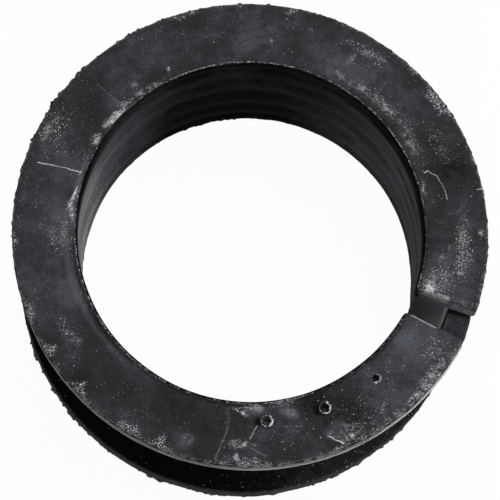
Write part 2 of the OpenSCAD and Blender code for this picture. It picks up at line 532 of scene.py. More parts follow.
@dataclass
class RingSection:
    """Section of the moulded ring in the plane of radius and height, in millimetres."""

    flange_r: float
    height: float
    bore_r: float
    flange_t: float = 3.6
    groove_floor_r: float = 29.2
    groove_fillet_r: float = 0.8
    rim_edge_r: float = 0.5
    bevel_w: float = 0.7
    bevel_h: float = 0.4
    lip_land: float = 0.6
    rib_count: int = 4
    first_crest: float = 4.5
    crest_land: float = 1.0
    valley_depth: float = 0.3
    edge_wear: float = 0.3
    top_edge_wear: float = 0.75
    rim_corner_wear: float = 0.4
    bore_corner_wear: float = 0.8
    ridge_height: float = 0.28
    points: list[tuple[float, float]] = field(default_factory=list)

    def line(self, radius: float, height: float, steps: int) -> None:
        """Carries the outline straight on to a point.

        Args:
            radius: The point's radius.
            height: The point's height.
            steps: How many pieces the stretch is divided into.
        """
        start_r, start_z = self.points[-1]
        for i in range(1, steps + 1):
            share = i / steps
            self.points.append((start_r + (radius - start_r) * share, start_z + (height - start_z) * share))

    def arc(self, radius: float, height: float, bend: float, start: float, end: float, steps: int) -> None:
        """Carries the outline on round an arc that begins where the outline stands.

        Args:
            radius: Radius of the arc's centre.
            height: Height of the arc's centre.
            bend: The arc's own radius.
            start: Direction of its start in degrees.
            end: Direction of its end in degrees.
            steps: How many pieces it is divided into.
        """
        for i in range(1, steps + 1):
            angle = math.radians(start + (end - start) * i / steps)
            self.points.append((radius + bend * math.cos(angle), height + bend * math.sin(angle)))

    def crests(self) -> list[float]:
        """Gives the heights of the bore's ribs."""
        pitch = (self.height - 2 * self.first_crest) / (self.rib_count - 1)
        return [self.first_crest + i * pitch for i in range(self.rib_count)]

    def flange_outside(self, top: float, bottom: float) -> None:
        """Carries the outline round one flange's rim, from its upper face to its lower one.

        Args:
            top: Height of the upper face.
            bottom: Height of the lower face.
        """
        centre_r = self.flange_r - self.rim_edge_r
        self.arc(centre_r, top - self.rim_edge_r, self.rim_edge_r, 90, 0, 4)
        self.line(self.flange_r, bottom + self.rim_edge_r, 7)
        self.arc(centre_r, bottom + self.rim_edge_r, self.rim_edge_r, 0, -90, 4)

    def groove(self) -> None:
        """Carries the outline in under the upper flange, down the groove and out over the lower one."""
        fillet = self.groove_fillet_r
        floor_r = self.groove_floor_r
        top = self.height - self.flange_t
        self.line(floor_r + fillet, top, 3)
        self.arc(floor_r + fillet, top - fillet, fillet, 90, 180, 3)
        self.line(floor_r, self.flange_t + fillet, 10)
        self.arc(floor_r + fillet, self.flange_t + fillet, fillet, 180, 270, 3)
        self.line(self.flange_r - self.rim_edge_r, self.flange_t, 4)

    def lands(self) -> list[tuple[float, float]]:
        """Gives the start and the end of each straight land up the bore, the end lips' included."""
        lip_end = self.bevel_h + self.lip_land
        ribs = [(z - self.crest_land / 2, z + self.crest_land / 2) for z in self.crests()]
        return [(self.bevel_h, lip_end), *ribs, (self.height - lip_end, self.height - self.bevel_h)]

    def valley(self, low: float, high: float) -> None:
        """Carries the outline from one land to the next through a smooth valley.

        Args:
            low: Height where the lower land ends.
            high: Height where the upper land begins.
        """
        half = (high - low) / 2
        slope = 2 * math.degrees(math.atan(self.valley_depth / half))
        bend = half / (2 * math.sin(math.radians(slope)))
        self.arc(self.bore_r + bend, low, bend, 180, 180 - slope, 2)
        self.arc(self.bore_r + self.valley_depth - bend, (low + high) / 2, bend, -slope, slope, 3)
        self.arc(self.bore_r + bend, high, bend, 180 + slope, 180, 2)

    def outline(self) -> list[tuple[float, float]]:
        """Gives the whole outline: out over the top face, down the outside, in below and up the bore.

        Returns:
            The outline's points as radius and height, the last one next to the first.
        """
        bevel_r = self.bore_r + self.bevel_w
        self.points = [(bevel_r, self.height)]
        self.line(self.flange_r - self.rim_edge_r, self.height, 30)
        self.flange_outside(self.height, self.height - self.flange_t)
        self.groove()
        self.flange_outside(self.flange_t, 0.0)
        self.line(bevel_r, 0.0, 7)
        self.line(self.bore_r, self.bevel_h, 2)
        lands = self.lands()
        for land, following in zip(lands, lands[1:]):
            self.line(self.bore_r, land[1], 1)
            self.valley(land[1], following[0])
        self.line(self.bore_r, self.height - self.bevel_h, 1)
        self.line(bevel_r, self.height, 3)
        return self.points[:-1]

    def flash_share(self, radius: float, height: float) -> float:
        """Gives how much of the mould flash a point of the outline carries.

        Args:
            radius: The point's radius.
            height: The point's height.

        Returns:
            The share, from 0 to 1 at the outer edges.
        """
        edges = [
            (self.flange_r, self.height - self.rim_edge_r, 1.0),
            (self.flange_r, self.rim_edge_r, 1.0),
            (self.bore_r, self.bevel_h, 0.45),
        ]
        nearness = (share * math.exp(-((radius - r) ** 2 + (height - z) ** 2) / 0.1) for r, z, share in edges)
        return max(nearness)

    def ridge_share(self, radius: float, height: float) -> float:
        """Gives how much of the ridge under the upper rim a point of the outline carries, from 0 to 1."""
        below = height - (self.height - self.flange_t + 0.35)
        return math.exp(-(((radius - self.flange_r) / 0.3) ** 2 + (below / 0.4) ** 2))

    def wear_at_ends(self, radius: float, height: float) -> float:
        """Gives how far a point of the outline is rounded off where the split cuts the ring.

        Args:
            radius: The point's radius.
            height: The point's height.

        Returns:
            The radius of the rounding.
        """
        in_from_bore = min(max((radius - self.bore_r - self.valley_depth) / 1.2, 0.0), 1.0)
        on_hub = min(max((self.groove_floor_r + 0.4 - radius) / 0.8, 0.0), 1.0)
        edge = self.edge_wear
        if height > self.height - self.flange_t / 2:
            edge += (self.top_edge_wear - self.edge_wear) * on_hub
        if radius > self.flange_r - self.rim_edge_r - 0.1:
            edge = self.rim_corner_wear * (1.0 if height > self.height / 2 else 3.0)
        return self.bore_corner_wear + (edge - self.bore_corner_wear) * in_from_bore


@dataclass(frozen=True)
class RimState:
    """How the relaxed ring departs from a true circle in one direction, lengths in millimetres."""

    azimuth: float
    low_spring: float
    top_spring: float
    low_flash: float
    top_flash: float


RIM_STATES = [
    RimState(FIRST_END, 0.3, 0.08, 0.2, 0.2),
    RimState(-8, 0.55, 0, 0.2, 0.3),
    RimState(0, 0.3, -0.02, 0.2, 0.3),
    RimState(12, 0.16, -0.1, 0.2, 0.4),
    RimState(35, 0.15, -0.08, 0.2, 0.4),
    RimState(60, 0.02, -0.05, 0.2, 0.4),
    RimState(80, -0.07, 0.03, 0.3, 0.4),
    RimState(105, -0.12, 0.04, 0.8, 0.6),
    RimState(130, -0.06, 0.06, 0.7, 0.95),
    RimState(150, 0, 0.06, 0.2, 0.95),
    RimState(165, 0, -0.05, 0.2, 0.85),
    RimState(183, 0.14, -0.08, 0.5, 0.5),
    RimState(210, 0.16, -0.1, 0.9, 0.3),
    RimState(248, 0.2, -0.03, 1.1, 0.3),
    RimState(262, 0.08, 0, 0.9, 0.3),
    RimState(276, 0.1, 0, 0.8, 0.3),
    RimState(288, -0.22, 0, 0.6, 0.3),
    RimState(300, -0.36, -0.02, 0.6, 0.3),
    RimState(312, -0.62, -0.02, 0.6, 0.3),
    RimState(324, -0.7, 0, 0.6, 0.3),
    RimState(LAST_END, -0.9, 0.08, 0.3, 0.2),
]


def eased(place: float, places: list[float], values: list[float]) -> float:
    """Reads a value between given ones, with a soft turn at each.

    Args:
        place: Where to read.
        places: The places of the values, rising.
        values: The values there.

    Returns:
        The value at the place.
    """
    following = min(max(int(np.searchsorted(places, place)), 1), len(places) - 1)
    span = places[following] - places[following - 1]
    share = min(max((place - places[following - 1]) / span, 0.0), 1.0)
    share = share * share * (3 - 2 * share)
    return values[following - 1] + (values[following] - values[following - 1]) * share


class SweepTree(Tree):
    """Geometry tree that lays a grid of points round the axis, one section at every station."""

    def __init__(self) -> None:
        """Makes the tree's inputs and its output, and samples both rule meshes."""
        super().__init__(bpy.data.node_groups.new("ring_sweep", "GeometryNodeTree"))
        inputs = {
            "Section": "Object",
            "Stations": "Object",
            "Section points": "Int",
            "Station count": "Int",
            "Height": "Float",
            "Ripple": "Float",
            "Ripples per metre": "Float",
            "Flash": "Float",
            "Nibs per metre": "Float",
            "Finish": "Material",
        }
        for name, kind in inputs.items():
            self.tree.interface.new_socket(name=name, in_out="INPUT", socket_type=f"NodeSocket{kind}")
        self.tree.interface.new_socket(name="Geometry", in_out="OUTPUT", socket_type="NodeSocketGeometry")
        self.given = self.add("NodeGroupInput").outputs
        self.rules = {}
        for name in ("Section", "Stations"):
            self.rules[name] = self.add("GeometryNodeObjectInfo", self.given[name]).outputs["Geometry"]
        stations, points = self.given["Station count"], self.given["Section points"]
        index = self.add("GeometryNodeInputIndex").outputs[0]
        row = self.whole("MODULO", self.whole("DIVIDE_FLOOR", index, stations), points)
        self.at = {"Section": row, "Stations": self.whole("MODULO", index, stations)}
        position = self.add("GeometryNodeInputPosition").outputs[0]
        self.place = self.sample("Section", position, "FLOAT_VECTOR")
        self.section = self.split(self.place)
        angles = self.split(self.sample("Stations", position, "FLOAT_VECTOR"))
        self.to_end = self.product(angles[1], self.section[0])
        self.level = self.math("DIVIDE", self.section[2], self.given["Height"])
        self.cosine, self.sine = self.math("COSINE", angles[0]), self.math("SINE", angles[0])

    def sample(self, rule: str, value: Socket, kind: str = "FLOAT") -> Socket:
        """Reads a value at the point of a rule mesh that each point of the grid belongs to."""
        named = {"Geometry": self.rules[rule], "Value": value, "Index": self.at[rule]}
        return self.add("GeometryNodeSampleIndex", named=named, data_type=kind).outputs["Value"]

    def of_rule(self, rule: str, name: str, kind: str = "FLOAT") -> Socket:
        """Reads a named attribute of a rule mesh."""
        value = self.add("GeometryNodeInputNamedAttribute", name, data_type=kind).outputs[0]
        return self.sample(rule, value, kind)

    def low_to_top(self, name: str) -> Socket:
        """Mixes a station's value for the lower face with its value for the upper one.

        Args:
            name: The attribute that holds both.

        Returns:
            The value at the point's own height.
        """
        pair = self.split(self.of_rule("Stations", name, "FLOAT_VECTOR"))
        return self.total(pair[0], self.product(self.level, self.less(pair[1], pair[0])))

    def turned(self, radius: Socket, height: Socket) -> Socket:
        """Places a point of the section at its station's azimuth."""
        x, y = self.product(radius, self.cosine), self.product(radius, self.sine)
        return self.add("ShaderNodeCombineXYZ", x, y, height).outputs[0]

    def inset(self) -> Socket:
        """Builds how far a point lies inside the moulded section.

        Returns:
            The rounding at the ring's ends, less the rag of mould flash.
        """
        reach = self.of_rule("Section", "end_wear")
        left = self.less(reach, self.math("MINIMUM", self.to_end, reach))
        square = self.less(self.product(reach, reach), self.product(left, left))
        rounding = self.less(reach, self.math("SQRT", square))
        moulded = self.turned(self.section[0], self.section[2])
        jag = self.noise(moulded, self.given["Nibs per metre"], 4.0, 0.7)
        nib = self.product(self.ramp(jag, 0.47, 0.7), self.given["Flash"])
        flash = self.product(self.of_rule("Section", "flash_share"), self.low_to_top("flash"))
        return self.less(rounding, self.product(nib, flash))

    def swept(self) -> Socket:
        """Builds the grid in its place round the axis.

        Returns:
            The open mesh, with each point's radius, height and distance to the end in millimetres.
        """
        inward = self.of_rule("Section", "inward", "FLOAT_VECTOR")
        worn = self.split(self.vector("ADD", self.place, self.vector("SCALE", inward, self.inset())))
        ridge = self.product(self.of_rule("Section", "ridge_share"), self.of_rule("Stations", "ridge"))
        sprung = self.total(worn[0], self.low_to_top("spring"), ridge)
        rows = self.whole("ADD", self.given["Section points"], 1)
        grid = self.add("GeometryNodeMeshGrid", 1.0, 1.0, rows, self.given["Station count"]).outputs["Mesh"]
        named = {"Position": self.turned(sprung, worn[2])}
        placed = self.add("GeometryNodeSetPosition", grid, named=named).outputs[0]
        mark = self.add("ShaderNodeCombineXYZ", self.section[0], self.section[2], self.to_end).outputs[0]
        named = {"Name": "section", "Value": self.vector("SCALE", mark, 1 / MM)}
        kind = "GeometryNodeStoreNamedAttribute"
        return self.add(kind, placed, named=named, data_type="FLOAT_VECTOR").outputs[0]

    def build(self) -> bpy.types.NodeTree:
        """Carries the grid through to the tree's output.

        Returns:
            The whole tree. Its result is closed round the section and open at both ends.
        """
        named = {"Distance": 0.002 * MM}
        closed = self.add("GeometryNodeMergeByDistance", self.swept(), named=named).outputs[0]
        bumps = self.noise(None, self.given["Ripples per metre"], 3.0)
        lift = self.product(self.less(bumps, 0.5), self.given["Ripple"])
        offset = self.vector("SCALE", self.add("GeometryNodeInputNormal").outputs[0], lift)
        uneven = self.add("GeometryNodeSetPosition", closed, named={"Offset": offset}).outputs[0]
        smooth = self.add("GeometryNodeSetShadeSmooth", uneven, named={"Shade Smooth": True}).outputs[0]
        real = self.add("GeometryNodeRealizeInstances", smooth).outputs[0]
        named = {"Material": self.given["Finish"]}
        dressed = self.add("GeometryNodeSetMaterial", real, named=named).outputs[0]
        self.add("NodeGroupOutput", dressed)
        return self.tree


@dataclass(frozen=True)
class SweptRing:
    """A section swept round the axis, with rounded ends at the split, in millimetres and degrees."""

    section: RingSection
    split_at: float
    split_angle: float
    step_angle: float = 0.5
    end_steps: tuple[float, ...] = (0.0, 0.03, 0.09, 0.18, 0.3, 0.45, 0.62, 0.8)
    ripple: float = 0.12
    ripples_per_metre: float = 160.0
    flash: float = 0.55
    nibs_per_metre: float = 950.0

    def section_mesh(self) -> Object:
        """Makes the section's rule mesh.

        Returns:
            An object with a point for each place of the outline, its inward direction, wear, flash and ridge.
        """
        outline = np.array(self.section.outline())
        ahead = np.roll(outline, -1, axis=0) - outline
        ahead /= np.linalg.norm(ahead, axis=1)[:, None]
        tangent = ahead + np.roll(ahead, 1, axis=0)
        tangent /= np.linalg.norm(tangent, axis=1)[:, None]
        inward = np.stack([tangent[:, 1], np.zeros(len(tangent)), -tangent[:, 0]], axis=1)
        mesh = bpy.data.meshes.new("section_rule")
        mesh.from_pydata([(r * MM, 0.0, z * MM) for r, z in outline], [], [])
        store(mesh, "inward", inward)
        store(mesh, "end_wear", np.array([self.section.wear_at_ends(r, z) * MM for r, z in outline]))
        store(mesh, "flash_share", np.array([self.section.flash_share(r, z) for r, z in outline]))
        ridge = [self.section.ridge_share(r, z) * self.section.ridge_height * MM for r, z in outline]
        store(mesh, "ridge_share", np.array(ridge))
        return self.hidden(mesh)

    def station_mesh(self) -> Object:
        """Makes the stations' rule mesh.

        Returns:
            An object with a point for each station, azimuth in x and the angle to the nearer end in y.
        """
        middle_r = (self.section.bore_r + self.section.flange_r) / 2
        start = math.radians(self.split_at + self.split_angle / 2)
        sweep = math.radians(360 - self.split_angle)
        ends = [step / middle_r for step in self.end_steps]
        count = round((sweep - 2 * ends[-1]) / math.radians(self.step_angle))
        inner = np.linspace(ends[-1], sweep - ends[-1], count + 1)[1:-1]
        offsets = [*ends, *inner, *(sweep - end for end in reversed(ends))]
        mesh = bpy.data.meshes.new("station_rule")
        mesh.from_pydata([(start + offset, min(offset, sweep - offset), 0.0) for offset in offsets], [], [])
        azimuths = [state.azimuth for state in RIM_STATES]
        fields = {
            "spring": [(state.low_spring * MM, state.top_spring * MM) for state in RIM_STATES],
            "flash": [(state.low_flash, state.top_flash) for state in RIM_STATES],
        }
        for name, pairs in fields.items():
            rows = []
            for offset in offsets:
                at = math.degrees(start + offset)
                rows.append([*(eased(at, azimuths, list(column)) for column in zip(*pairs)), 0.0])
            store(mesh, name, np.array(rows))
        store(mesh, "ridge", along(np.degrees(start + np.array(offsets)), RIM_RIDGE))
        return self.hidden(mesh)

    @staticmethod
    def hidden(mesh: Mesh) -> Object:
        """Puts a rule mesh in the scene, where no view shows it."""
        rule = linked(mesh.name, mesh)
        rule.hide_render = True
        return rule

    def build(self, name: str, finish: Material) -> Object:
        """Makes the ring as a plain closed mesh.

        Args:
            name: The piece's name.
            finish: The material that it takes.

        Returns:
            The ring's object at the origin.
        """
        section, stations = self.section_mesh(), self.station_mesh()
        values = {
            "Section": section,
            "Stations": stations,
            "Section points": len(section.data.vertices),
            "Station count": len(stations.data.vertices),
            "Height": self.section.height * MM,
            "Ripple": self.ripple * MM,
            "Ripples per metre": self.ripples_per_metre,
            "Flash": self.flash * MM,
            "Nibs per metre": self.nibs_per_metre,
            "Finish": finish,
        }
        ring = grown(name, SweepTree().build(), values)
        for rule in (section, stations):
            bpy.data.objects.remove(rule)
        close_ends(ring.data)
        return ring


def linked(name: str, data: bpy.types.ID) -> Object:
    """Puts an object with the given data in the scene."""
    thing = bpy.data.objects.new(name, data)
    bpy.context.scene.collection.objects.link(thing)
    return thing


def fresh_tree(owner: bpy.types.ID) -> Tree:
    """Empties the shader tree of a material or world, ready to be filled."""
    owner.use_nodes = True
    owner.node_tree.nodes.clear()
    return Tree(owner.node_tree)


def bake(piece: Object) -> None:
    """Keeps what a piece's modifiers make of it as its plain mesh, and takes the modifiers off.

    Args:
        piece: The piece, which keeps its name.
    """
    graph = bpy.context.evaluated_depsgraph_get()
    mesh = bpy.data.meshes.new_from_object(piece.evaluated_get(graph), depsgraph=graph)
    piece.modifiers.clear()
    piece.data = mesh
    mesh.name = piece.name


def store(mesh: Mesh, name: str, values: np.ndarray) -> None:
    """Stores a number or a vector on each point of a mesh.

    Args:
        mesh: The mesh to store it on.
        name: The attribute's name.
        values: One row for each point, with one number or three.
    """
    if values.ndim == 2:
        layer = mesh.attributes.new(name, "FLOAT_VECTOR", "POINT")
        layer.data.foreach_set("vector", values.astype(np.float32).ravel())
    else:
        layer = mesh.attributes.new(name, "FLOAT", "POINT")
        layer.data.foreach_set("value", values.astype(np.float32))


def grown(name: str, tree: bpy.types.NodeTree, values: dict[str, object]) -> Object:
    """Runs a geometry tree and keeps its result as a plain mesh.

    Args:
        name: The new piece's name.
        tree: The geometry tree.
        values: What the tree's inputs take, by name.

    Returns:
        The piece at the origin, with no modifier left.
    """
    piece = linked(name, bpy.data.meshes.new(name))
    modifier = piece.modifiers.new("grow", "NODES")
    modifier.node_group = tree
    for item in tree.interface.items_tree:
        if item.item_type == "SOCKET" and item.in_out == "INPUT" and item.name in values:
            modifier[item.identifier] = values[item.name]
    bake(piece)
    return piece


def close_ends(mesh: Mesh) -> None:
    """Fills the open loops of a swept mesh and turns all its faces outwards.

    Args:
        mesh: The mesh to close.
    """
    shape = bmesh.new()
    shape.from_mesh(mesh)
    open_edges = [edge for edge in shape.edges if edge.is_boundary]
    caps = bmesh.ops.holes_fill(shape, edges=open_edges, sides=0)["faces"]
    bmesh.ops.triangulate(shape, faces=caps)
    bmesh.ops.recalc_face_normals(shape, faces=shape.faces)
    shape.to_mesh(mesh)
    shape.free()


def pierce(ring: Object, holes: list[tuple[Vector, float]], depth: float, finish: Material) -> None:
    """Cuts blind round holes into the ring.

    Args:
        ring: The ring to cut.
        holes: The middle of each hole's mouth and its radius, in millimetres.
        depth: The depth of the holes in millimetres.
        finish: The material of the ring and of its holes.
    """
    shape = bmesh.new()
    for mouth, radius in holes:
        where = Matrix.Translation(mouth * MM)
        size = radius * MM
        cone = {"radius1": size * 0.8, "radius2": size * 1.2, "depth": 2 * depth * MM, "matrix": where}
        bmesh.ops.create_cone(shape, cap_ends=True, segments=28, **cone)
    mesh = bpy.data.meshes.new("gate_cutters")
    shape.to_mesh(mesh)
    shape.free()
    cutters = linked("gate_cutters", mesh)
    cut = ring.modifiers.new("gate_holes", "BOOLEAN")
    cut.object = cutters
    cut.solver = "MANIFOLD"
    bake(ring)
    ring.data.materials.clear()
    ring.data.materials.append(finish)
    ring.data.polygons.foreach_set("material_index", np.zeros(len(ring.data.polygons), dtype=np.int32))
    bpy.data.objects.remove(cutters)


class RubberSkin:
    """Masks of the rubber's looks, as sockets of one shader tree, with lengths in millimetres."""

    def __init__(self, finish: RubberFinish, t: Tree) -> None:
        """Reads the ring's attributes and makes the noises that the masks share.

        Args:
            finish: The sizes and colours of the finish.
            t: The material's tree.
        """
        self.finish = finish
        self.ring = ring = finish.ring
        self.t = t
        self.mm = t.vector("SCALE", t.add("ShaderNodeTexCoord").outputs["Object"], 1 / MM)
        self.section = t.add("ShaderNodeAttribute", attribute_name="section").outputs["Vector"]
        self.radius, self.height, self.to_end = t.split(self.section)
        self.broad = t.noise(self.mm, 0.16, 5.0, 0.62)
        self.mottle = t.noise(self.mm, 0.9, 4.0, 0.6)
        self.grain = t.noise(self.mm, 4.0, 3.0, 0.65)
        self.fine = t.noise(self.mm, 9.0, 2.0, 0.6)
        self.flaky = t.total(t.product(self.grain, 0.6), t.product(self.fine, 0.6))
        self.flecks = t.ramp(t.noise(self.mm, 4.4, 5.0, 0.75), 0.53, 0.62)
        self.on_top = t.ramp(self.height, ring.height - 0.25, ring.height - 0.1)
        self.on_rim = t.ramp(self.radius, ring.flange_r - 0.45, ring.flange_r - 0.2)
        shelf = t.off(self.height, ring.flange_t)
        self.level = t.most(self.on_top, t.ramp(shelf, 0.05, 0.12, 1.0, 0.0))
        self.specks = t.stored("specks")
        self.lip_reach = t.stored("lip_reach")
        self.end_width = t.stored("end_width")
        self.at_end = self.end_edges()
        self.rim_line = self.wandering_line()
        named = {"Vector": self.mm, "Scale": 1.3, "Detail": 3.0}
        shake = t.add("ShaderNodeTexNoise", named=named).outputs["Color"]
        shake = t.vector("SCALE", t.vector("SUBTRACT", shake, (0.5, 0.5, 0.5)), 0.3)
        self.shaken = t.vector("ADD", self.mm, shake)

    def dots(self, per_mm: float, density: object, size: float, space: str = "2D") -> Socket:
        """Builds loose round specks of many sizes.

        Args:
            per_mm: How many places for a speck lie on a millimetre.
            density: The share of the places that hold one.
            size: A middling speck's radius.
            space: "2D" for specks on level faces, "3D" for specks on walls.

        Returns:
            The mask's socket, from 0 to 1.
        """
        t = self.t
        named = {"Vector": self.mm, "Scale": per_mm}
        cell = t.add("ShaderNodeTexVoronoi", voronoi_dimensions=space, named=named, feature="F1").outputs
        chance = t.add("ShaderNodeSeparateColor", cell["Color"]).outputs
        there = t.math("LESS_THAN", chance[0], density)
        reach = t.product(t.total(t.product(chance[1], 0.6), 0.6), size * per_mm)
        near = t.math("SUBTRACT", 1.0, t.math("DIVIDE", cell["Distance"], reach), clamp=True)
        bright = t.total(t.product(chance[2], 0.55), 0.45)
        return t.product(there, bright, t.ramp(near, 0.0, 0.35))

    def line(self, point: Socket, start: Vector, end: Vector, width: float, strength: float) -> Socket:
        """Builds the mask of one thin straight line.

        Args:
            point: The point to shade, shaken a little so that the line wavers.
            start: The line's start.
            end: Its end.
            width: Its width.
            strength: The mask's value on the line.

        Returns:
            The mask's socket, from 0 to 1.
        """
        t = self.t
        step = end - start
        from_start = t.vector("SUBTRACT", point, tuple(start))
        passed = t.vector("DOT_PRODUCT", from_start, tuple(step), output="Value")
        share = t.math("DIVIDE", passed, step.length_squared, clamp=True)
        nearest = t.vector("SCALE", tuple(step), share)
        away = t.vector("LENGTH", t.vector("SUBTRACT", from_start, nearest), output="Value")
        return t.ramp(away, width / 4, width, strength, 0.0)

    def scores(self) -> Socket:
        """Builds the mask of all pale scores on the upper face.

        Returns:
            The mask's socket, from 0 to 1.
        """
        t = self.t
        top = self.ring.height
        flat = t.vector("ADD", t.vector("MULTIPLY", self.shaken, (1.0, 1.0, 0.0)), (0.0, 0.0, top))
        lines = []
        for score in SCORES:
            start, end = polar(*score.start, top), polar(*score.end, top)
            lines.append(self.line(flat, start, end, score.width, score.strength))
        return t.product(t.most(*lines), self.on_top, t.ramp(self.flaky, 0.49, 0.62, 0.1, 1.4))

    def tears(self) -> Socket:
        """Builds the mask of the black tears in the bore.

        Returns:
            The mask's socket, from 0 to 1.
        """
        wall_r = self.ring.bore_r + 0.2
        lines = []
        for tear in TEARS:
            start, end = (polar(azimuth, wall_r, height) for azimuth, height in (tear.start, tear.end))
            lines.append(self.line(self.shaken, start, end, tear.width, tear.strength))
        return self.t.most(*lines)

    def end_edges(self) -> Socket:
        """Builds the mask of the rubbed edges where the split cuts the hub, with their painted highlights.

        Returns:
            The mask's socket, from 0 to 1.
        """
        t = self.t
        bore_r, hub_r, top = self.ring.bore_r, self.ring.groove_floor_r, self.ring.height
        near_end = t.ramp(self.to_end, 0.0, self.end_width, 1.0, 0.0)
        outer = t.ramp(self.radius, hub_r - 0.7, hub_r - 0.1, 1.0, 0.0)
        hub = t.product(t.ramp(self.radius, bore_r + 0.5, bore_r + 1.4), outer)
        top_edge = t.product(hub, t.ramp(self.height, top - 1.2, top - 0.4))
        outwards = t.ramp(self.radius, hub_r - 0.5, hub_r - 0.1)
        corner = t.product(outwards, t.ramp(self.radius, hub_r, hub_r + 0.15, 1.0, 0.0))
        side_edge = t.product(corner, t.ramp(self.height, top - 3.4, top - 3.9))
        # The painted highlight on the side edge fades deeper into the slit
        side_edge = t.product(side_edge, t.ramp(self.height, top - 22.0, top - 4.0, 0.3, 0.9))
        return t.product(near_end, t.most(top_edge, side_edge))

    def wandering_line(self) -> Socket:
        """Builds the mask of the wandering line that wear has left along the upper rim.

        Returns:
            The mask's socket, from 0 to 1.
        """
        t = self.t
        top = self.ring.height
        wander = t.noise(t.vector("MULTIPLY", self.mm, (1.0, 1.0, 0.1)), 0.3, 4.0, 0.65)
        wander = t.product(t.less(wander, 0.5), 1.8)
        rightwards = t.split(self.mm)[0]
        line = t.less(self.height, t.ramp(rightwards, 4.0, 15.0, top - 2.3, top - 2.9))
        line = t.math("ABSOLUTE", t.total(line, wander))
        line = t.product(t.ramp(line, 0.15, 0.45, 1.0, 0.0), self.on_rim)
        return t.product(line, t.ramp(self.to_end, 0.2, 0.6))

    def ground(self) -> Socket:
        """Builds the colour of the rubber under all dust.

        Returns:
            The colour's socket.
        """
        t = self.t
        finish = self.finish
        cloud = t.stored("bloom")
        for cover, share in ((self.broad, 1.4), (self.mottle, 0.45), (self.grain, 0.7), (self.fine, 0.9)):
            cloud = t.total(cloud, t.product(t.less(cover, 0.5), share))
        skin = t.blend(t.ramp(cloud, -1.2, -0.5), finish.black, finish.deep)
        skin = t.blend(t.ramp(cloud, -0.15, 0.25), skin, finish.dark)
        return t.blend(t.ramp(cloud, 0.25, 1.15), skin, finish.bloom)

    def talc(self) -> list[tuple[Socket, object]]:
        """Builds the talc that lies in patches and films.

        Returns:
            Each mask with its share.
        """
        t = self.t
        haze = t.stored("haze")
        patchy = t.ramp(t.noise(self.mm, 1.4, 4.0, 0.7), 0.43, 0.58, 0.08, 1.6)
        crowd = t.ramp(self.mottle, 0.35, 0.6, 0.3, 1.0)
        thick = t.product(self.specks, crowd, self.level)
        broken = t.ramp(t.noise(self.mm, 3.0, 5.0, 0.75), 0.42, 0.6, 0.0, 1.2)
        solid = t.product(t.ramp(haze, 0.9, 1.6), broken)
        haze = t.product(haze, patchy)
        film = t.product(haze, t.ramp(t.total(self.flaky, t.product(self.mottle, 0.4)), 0.68, 0.95))
        return [
            (film, 0.5),
            (solid, 0.5),
            (t.product(self.flecks, t.most(thick, haze)), 0.75),
            (self.dots(3.8, t.product(thick, 0.66), 0.062), 0.9),
            (self.dots(1.9, t.product(thick, 0.5), 0.077), 1.0),
            (self.dots(3.9, t.product(t.product(haze, crowd), 0.6), 0.06), 0.9),
        ]

    def strewn(self) -> list[tuple[Socket, object]]:
        """Builds the loose specks on level faces and on walls.

        Returns:
            Each mask with its share.
        """
        t = self.t
        strewn = t.ramp(t.noise(self.mm, 0.35, 2.0, 0.5), 0.42, 0.68, 0.03, 0.42)
        strewn = t.total(strewn, t.product(self.specks, 0.3))
        off_level = t.less(1.0, self.level)
        return [
            (self.dots(0.9, t.product(t.product(self.level, strewn), 0.45), 0.062), 0.9),
            (self.dots(1.7, t.product(self.on_top, strewn), 0.045), 0.6),
            (self.dots(3.0, t.product(self.specks, off_level), 0.13, "3D"), 0.8),
        ]

    def on_edges(self) -> list[tuple[Socket, object]]:
        """Builds the talc along the flange's edge and the bore's lip.

        Returns:
            Each mask with its share.
        """
        t = self.t
        ring = self.ring
        rim_talc = t.stored("rim_talc")
        inner_edge = t.less(ring.flange_r - 0.45, t.product(t.math("POWER", rim_talc, 3.0), 1.4))
        from_edge = t.math("DIVIDE", t.less(self.radius, inner_edge), 0.9, clamp=True)
        edge = t.product(t.product(from_edge, self.on_top), rim_talc)
        edge = t.product(edge, t.ramp(self.mottle, 0.36, 0.55, 0.15, 1.1))
        lip = t.off(self.radius, t.total(self.lip_reach, ring.bore_r + 0.08))
        upper = t.ramp(self.height, ring.height - 0.4, ring.height - 0.3)
        lip = t.product(t.ramp(lip, 0.05, 0.13, 1.0, 0.0), upper)
        lip = t.product(lip, t.stored("lip_talc"), t.ramp(self.mottle, 0.42, 0.54, 0.15, 1.1))
        return [
            (self.dots(3.7, t.product(edge, 0.9), 0.065), 1.0),
            (t.product(edge, self.flecks), 0.9),
            (self.dots(3.8, lip, 0.07), 1.0),
            (t.product(lip, t.ramp(self.flaky, 0.55, 0.75)), 0.5),
        ]

    def torn_places(self) -> list[tuple[Socket, object]]:
        """Builds the pale raw rubber at the ends with their painted highlights, along the worn rim and on the
        gate stubs, whose paleness carries a painted highlight on the lamp side.

        Returns:
            Each mask with its share.
        """
        t = self.t
        raw_end = t.product(self.at_end, t.ramp(self.flaky, 0.45, 0.75, 0.35, 1.0))
        raw_rim = t.product(self.rim_line, t.stored("rim_wear"), t.ramp(self.flaky, 0.45, 0.7, 0.35, 1.0))
        crumbly = t.ramp(t.noise(self.mm, 3.4, 4.0, 0.65), 0.42, 0.56, 0.1, 1.3)
        # The stubs' paleness carries a painted highlight on their lamp side
        raw_stub = t.product(t.stored("torn"), crumbly)
        return [(raw_end, t.ramp(self.end_width, 0.5, 0.7, 0.75, 0.2)), (raw_rim, 0.95), (raw_stub, 1.0)]

